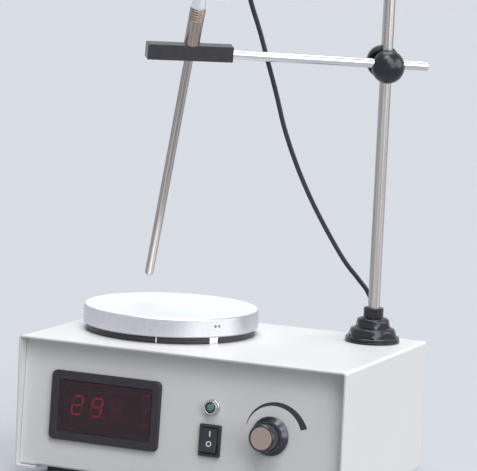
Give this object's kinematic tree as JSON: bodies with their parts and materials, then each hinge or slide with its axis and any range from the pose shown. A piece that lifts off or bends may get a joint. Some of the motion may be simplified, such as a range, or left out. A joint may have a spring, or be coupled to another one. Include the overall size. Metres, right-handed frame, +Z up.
{
  "type": "heated magnetic stirrer",
  "caption": "Bench stirrer with a round heated plate, a digital readout, a speed knob and a power switch, and a rod stand whose arm holds a temperature probe over the plate.",
  "frame": {"origin": "on the bench, under the middle of the case", "axes": "+Z up; +X to the user's right and -Y out of the front panel, towards the user"},
  "size_m": [0.234, 0.2297, 0.4],
  "materials": {
    "cream_paint": "warm white baked enamel, satin, faint orange peel",
    "black_plastic": "moulded black plastic, fine matt texture",
    "glossy_black": "polished black plastic",
    "rubber": "dull black rubber",
    "aluminium": "turned aluminium, satin",
    "steel": "zinc plated steel",
    "rod_steel": "drawn stainless steel, satin",
    "probe_steel": "polished stainless tube",
    "satin_nickel": "satin nickel with a bronze tone",
    "chrome": "bright chrome plating",
    "mica": "mica sheet with wound resistance wire",
    "wool_board": "pressed mineral wool board",
    "magnet": "dark ferrite",
    "circuit_board": "green solder mask",
    "smoked_red": "smoked red window",
    "green_lens": "translucent green lens",
    "dark_cable": "blue-black cable sheath"
  },
  "bodies": {
    "stirrer": {"chassis": "cream_paint", "control_board": "circuit_board", "cover": "cream_paint", "cover_screw_front_left": "steel", "cover_screw_front_right": "steel", "cover_screw_rear_left": "steel", "cover_screw_rear_right": "steel", "display_bezel": "black_plastic", "display_board": "circuit_board", "display_window": "smoked_red", "foot_front_left": "rubber", "foot_front_right": "rubber", "foot_rear_left": "rubber", "foot_rear_right": "rubber", "fuse_cap": "black_plastic", "fuse_holder": "black_plastic", "heater_element": "mica", "heater_retainer": "steel", "hot_plate": "aluminium", "insulating_ring": "black_plastic", "insulation_disc": "wool_board", "lamp_bezel": "chrome", "lamp_lens": "green_lens", "mains_inlet": "black_plastic", "motor": "steel", "motor_bracket": "steel", "plate_standoff_1": "aluminium", "plate_standoff_2": "aluminium", "plate_standoff_3": "aluminium", "potentiometer": "aluminium", "potentiometer_nut": "steel", "rod_foot": "black_plastic", "sensor_cord_5": "dark_cable", "sensor_plug": "steel", "sensor_socket": "steel", "switch_frame": "black_plastic", "transformer": "steel"},
    "support_rod": {"support_rod": "rod_steel", "sensor_cord_4": "dark_cable"},
    "boss": {"boss_rear_half": "black_plastic", "boss_front_half": "black_plastic", "boss_screw": "steel", "sensor_cord_3": "dark_cable"},
    "arm": {"arm_rod": "chrome"},
    "holder": {"probe_holder": "black_plastic", "sensor_cord_2": "dark_cable"},
    "probe": {"probe_stem": "probe_steel", "probe_handle": "satin_nickel", "probe_collar": "chrome", "probe_strain_relief": "rubber", "sensor_cord_1": "dark_cable"},
    "speed_knob": {"speed_knob": "glossy_black", "knob_cap": "aluminium", "potentiometer_shaft": "steel"},
    "power_rocker": {"power_rocker": "black_plastic"},
    "rotor": {"motor_shaft": "steel", "magnet_holder": "aluminium", "magnet_left": "magnet", "magnet_right": "magnet"}
  },
  "joints": [
    {"name": "rod_swivel", "type": "hinge", "parent": "stirrer", "child": "support_rod", "pos_m": [0.086, 0.053, 0.105], "axis": [0, 0, 1], "range_deg": [-90, 90], "deforming": ["sensor_cord_5"]},
    {"name": "boss_height", "type": "slide", "parent": "support_rod", "child": "boss", "axis": [0, 0, 1], "range_m": [-0.01, 0.06], "deforming": ["sensor_cord_4"]},
    {"name": "arm_reach", "type": "slide", "parent": "boss", "child": "arm", "axis": [0.7983, 0.6016, -0.0279], "range_m": [-0.012, 0.03], "deforming": ["sensor_cord_3"]},
    {"name": "holder_turn", "type": "hinge", "parent": "arm", "child": "holder", "pos_m": [0.09069, 0.04677, 0.2891], "axis": [0.7983, 0.6016, -0.0279], "range_deg": [-20, 30], "deforming": ["sensor_cord_2"]},
    {"name": "probe_depth", "type": "slide", "parent": "holder", "child": "probe", "axis": [0.2625, -0.2691, 0.9266], "range_m": [0, 0.04], "deforming": ["sensor_cord_1"]},
    {"name": "speed_turn", "type": "hinge", "parent": "stirrer", "child": "speed_knob", "pos_m": [0.0649, -0.07111, 0.05131], "axis": [0, 0.9977, -0.0673], "range_deg": [0, 280]},
    {"name": "power_switch", "type": "hinge", "parent": "stirrer", "child": "power_rocker", "pos_m": [0.023, -0.07214, 0.04356], "axis": [1, 0, 0], "range_deg": [0, 16]},
    {"name": "rotor_spin", "type": "hinge", "parent": "stirrer", "child": "rotor", "pos_m": [-0.0443, 0.0066, 0.0845], "axis": [0, 0, 1], "continuous": true}
  ]
}
